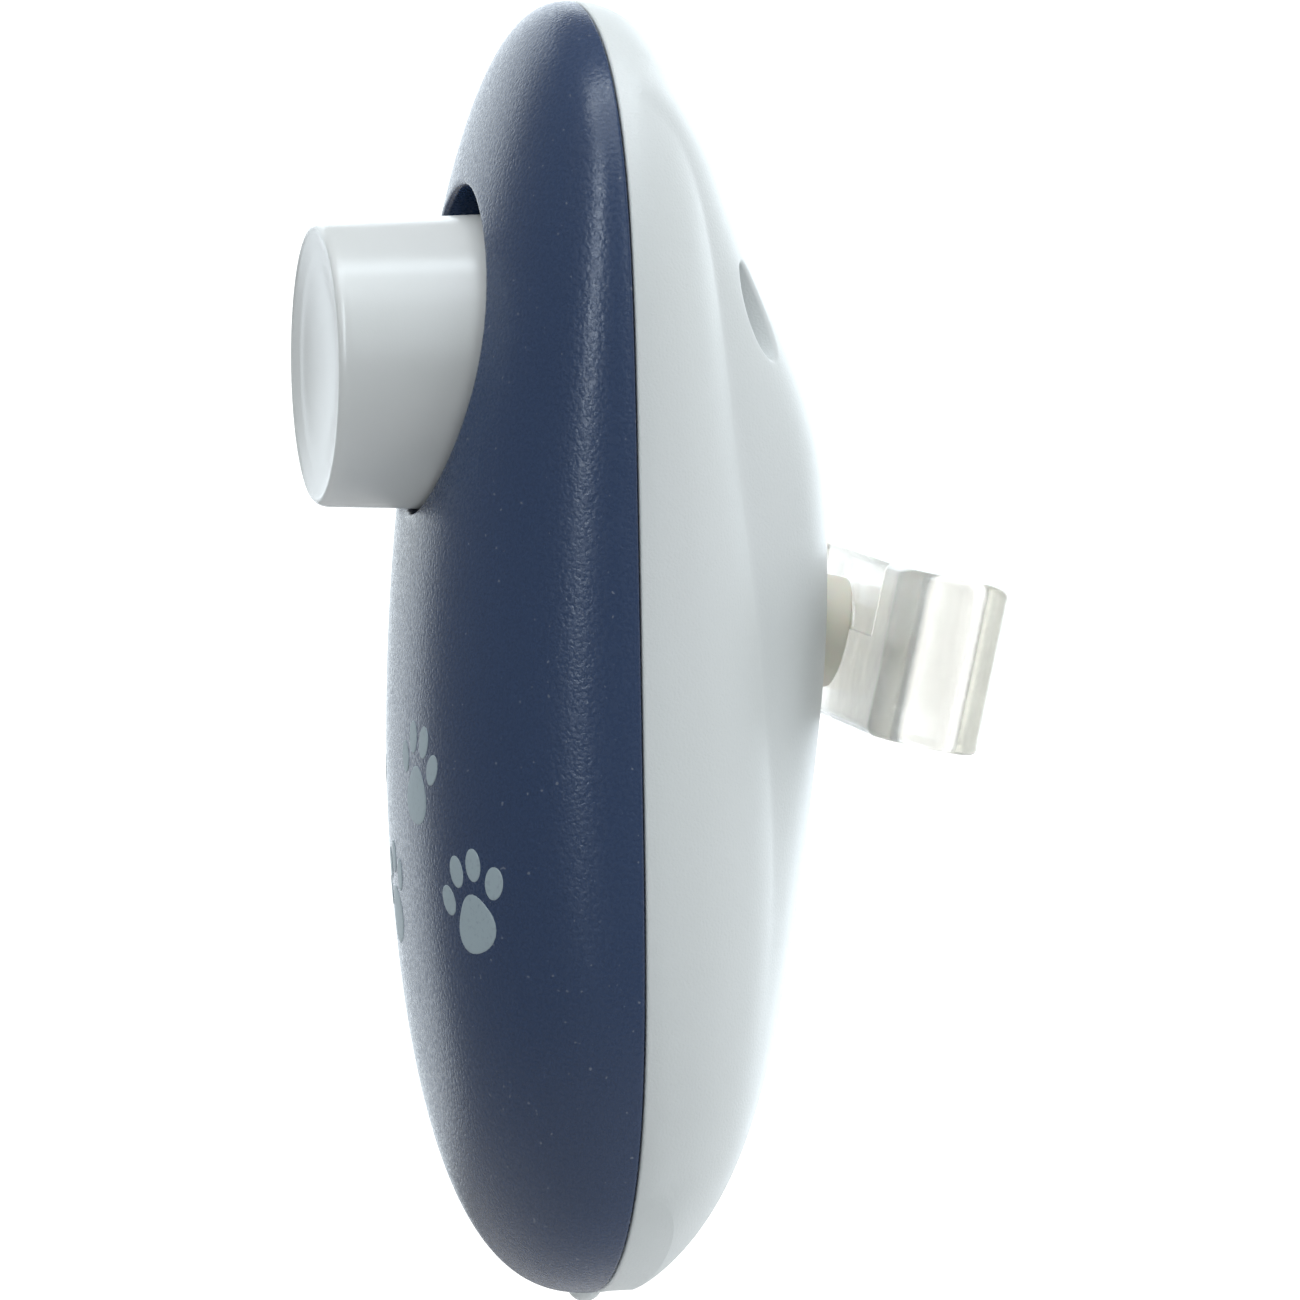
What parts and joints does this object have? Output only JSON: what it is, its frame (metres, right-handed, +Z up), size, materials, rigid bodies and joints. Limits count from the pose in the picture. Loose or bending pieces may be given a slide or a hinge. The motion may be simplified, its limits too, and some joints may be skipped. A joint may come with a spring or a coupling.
{
  "type": "clicker trainer",
  "caption": "Egg-shaped finger clicker: two plastic shells, a dished thumb button on a sprung lever, a snapping steel strip inside and a soft clear finger loop on a swivelling stud.",
  "frame": {"origin": "the middle of the finger loop's opening, on the axis of the stud that the loop swivels on", "axes": "+Z up along the case's length, towards the button end; -Y out of the thumb button; +Y out of the back; +X across the case"},
  "size_m": [0.03, 0.033, 0.065],
  "materials": {
    "shell_navy": "fine spark-eroded texture, satin",
    "shell_grey": "fine spark-eroded texture, satin",
    "button_grey": "smooth, satin",
    "lever_dark": "moulded, unseen",
    "clear_loop": "clear, glossy",
    "stud_nylon": "natural nylon, satin",
    "spring_steel": "bright rolled",
    "zinc_steel": "zinc plated"
  },
  "bodies": {
    "housing": {"front_shell": "shell_navy", "rear_shell": "shell_grey", "hinge_pin": "zinc_steel", "click_strip": "spring_steel", "strip_clamp": "zinc_steel", "strip_screw_left": "zinc_steel", "strip_screw_right": "zinc_steel", "case_screw_upper": "zinc_steel", "case_screw_lower": "zinc_steel"},
    "button": {"thumb_button": "button_grey", "button_lever": "lever_dark"},
    "loop": {"finger_loop": "clear_loop", "loop_stud": "stud_nylon", "stud_washer": "zinc_steel", "stud_screw": "zinc_steel"}
  },
  "joints": [
    {"name": "button_pivot", "type": "hinge", "parent": "housing", "child": "button", "pos_m": [0, -0.01724, -0.00511], "axis": [-1, 0, 0], "range_deg": [0, 6], "stiffness_Nm_per_rad": 1, "springref_deg": -0.57, "deforming": ["click_strip"]},
    {"name": "loop_swivel", "type": "hinge", "parent": "housing", "child": "loop", "pos_m": [0, 0, 0], "axis": [0, 0.9781, -0.2079], "continuous": true}
  ]
}
